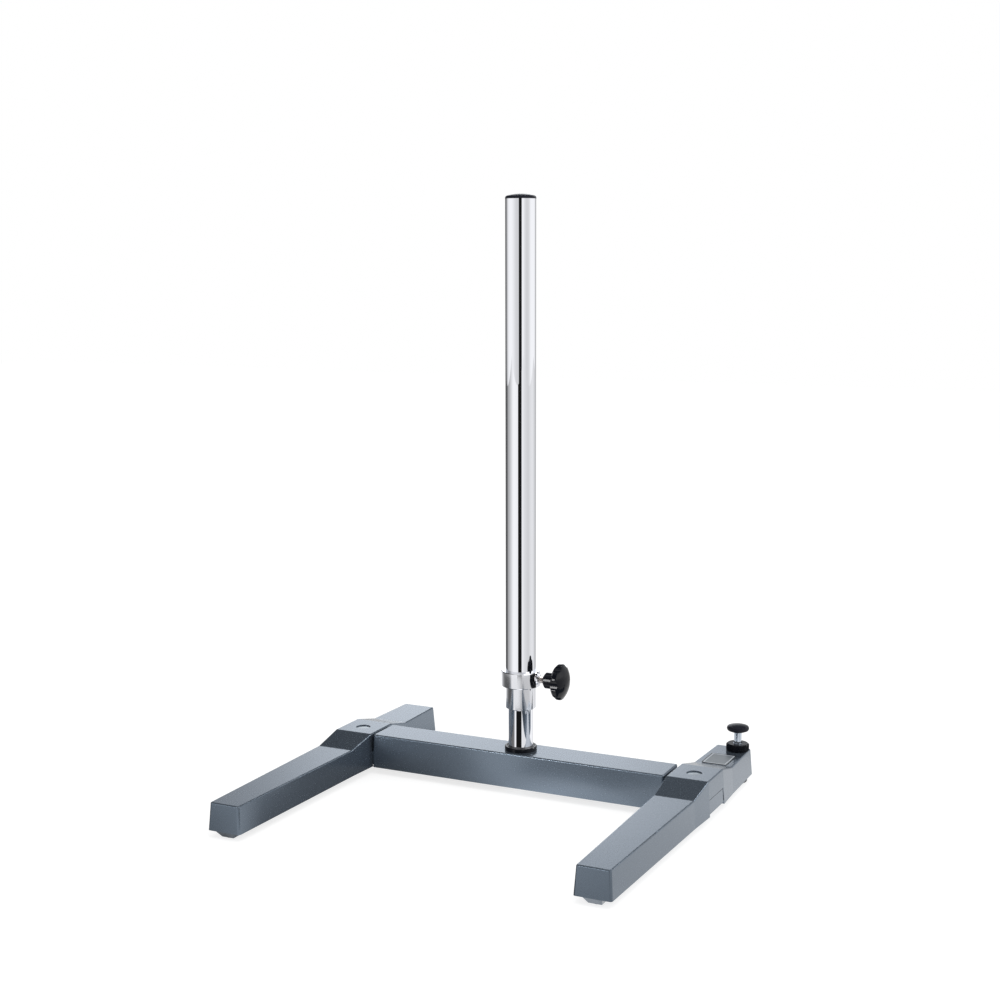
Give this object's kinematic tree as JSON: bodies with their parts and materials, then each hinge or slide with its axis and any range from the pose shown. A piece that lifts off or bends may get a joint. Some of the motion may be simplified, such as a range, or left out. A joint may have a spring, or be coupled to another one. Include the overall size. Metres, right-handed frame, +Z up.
{
  "type": "telescopic lab stand",
  "caption": "Telescopic laboratory stand: H-shaped cast base, chromed two-tube column that slides and swivels, clamp collar with star grip, levelling screw at one rear leg.",
  "frame": {"origin": "on the surface it stands on, under the centre of the base's bounding box", "axes": "+Z up along the column, +X to the right along the crossbar, +Y to the rear; the open front of the base is at -Y"},
  "size_m": [0.467, 0.428, 0.6668],
  "materials": {
    "casting_paint": "satin blue-grey paint on cast iron",
    "chrome_tube": "polished chrome plate on drawn steel tube",
    "chrome_collar": "polished chrome plate on turned steel",
    "zinc_steel": "zinc-plated steel",
    "bright_steel": "bright turned steel",
    "brass": "turned brass",
    "black_gloss": "moulded black thermoset",
    "black_satin": "satin black plastic",
    "black_nut": "blackened steel, knurled",
    "grey_cap": "grey plastic",
    "nylon": "natural nylon",
    "rubber_pad": "black rubber"
  },
  "bodies": {
    "base": {"crossbar": "casting_paint", "left_leg": "casting_paint", "right_leg": "casting_paint", "leg_bolts": "zinc_steel", "leg_bolt_washers": "zinc_steel", "left_bolt_cap": "grey_cap", "right_bolt_cap": "grey_cap", "front_left_foot_pad": "rubber_pad", "front_right_foot_pad": "rubber_pad", "rear_left_foot_pad": "rubber_pad", "inner_tube": "chrome_tube", "column_anchor": "zinc_steel", "column_screw": "zinc_steel", "column_washer": "zinc_steel", "base_ring": "black_satin", "upper_glide_bush": "nylon", "inner_tube_plug": "nylon"},
    "mast_guide": {"lower_glide_bush": "nylon"},
    "mast": {"outer_tube": "chrome_tube", "clamp_collar": "chrome_collar", "bush_snap_ring": "bright_steel", "stop_sleeve": "bright_steel", "end_cap": "black_satin", "clamp_insert": "chrome_collar"},
    "clamp_shoe": {"clamp_shoe": "brass"},
    "clamp_screw": {"clamp_stud": "bright_steel", "star_grip": "black_gloss"},
    "level_foot": {"level_foot": "black_satin"},
    "level_screw": {"level_spindle": "bright_steel", "level_head": "black_satin"},
    "lock_nut": {"lock_nut": "black_nut"}
  },
  "joints": [
    {"name": "mast_slide", "type": "slide", "parent": "base", "child": "mast_guide", "axis": [0, 0, 1], "range_m": [-0.044, 0.344]},
    {"name": "mast_swivel", "type": "hinge", "parent": "mast_guide", "child": "mast", "pos_m": [0, 0.072, 0.1298], "axis": [0, 0, 1], "continuous": true},
    {"name": "clamp_travel", "type": "slide", "parent": "mast", "child": "clamp_shoe", "axis": [1, 0, 0], "range_m": [0, 0.0025]},
    {"name": "clamp_turn", "type": "hinge", "parent": "clamp_shoe", "child": "clamp_screw", "pos_m": [0.03, 0.072, 0.1298], "axis": [1, 0, 0], "range_deg": [-1, 721]},
    {"name": "level_travel", "type": "slide", "parent": "base", "child": "level_foot", "axis": [0, 0, 1], "range_m": [-0.012, 0.00075]},
    {"name": "level_turn", "type": "hinge", "parent": "level_foot", "child": "level_screw", "pos_m": [0.2148, 0.2009, 0.03], "axis": [0, 0, 1], "range_deg": [-2881, 181]},
    {"name": "lock_nut_turn", "type": "hinge", "parent": "base", "child": "lock_nut", "pos_m": [0.2148, 0.2009, 0.041], "axis": [0, 0, 1], "range_deg": [0, 90]}
  ],
  "couplings": [
    {"joint": "clamp_turn", "follows": "clamp_travel", "rad_per_m": 5026.5},
    {"joint": "level_turn", "follows": "level_travel", "rad_per_m": 4188.8}
  ]
}
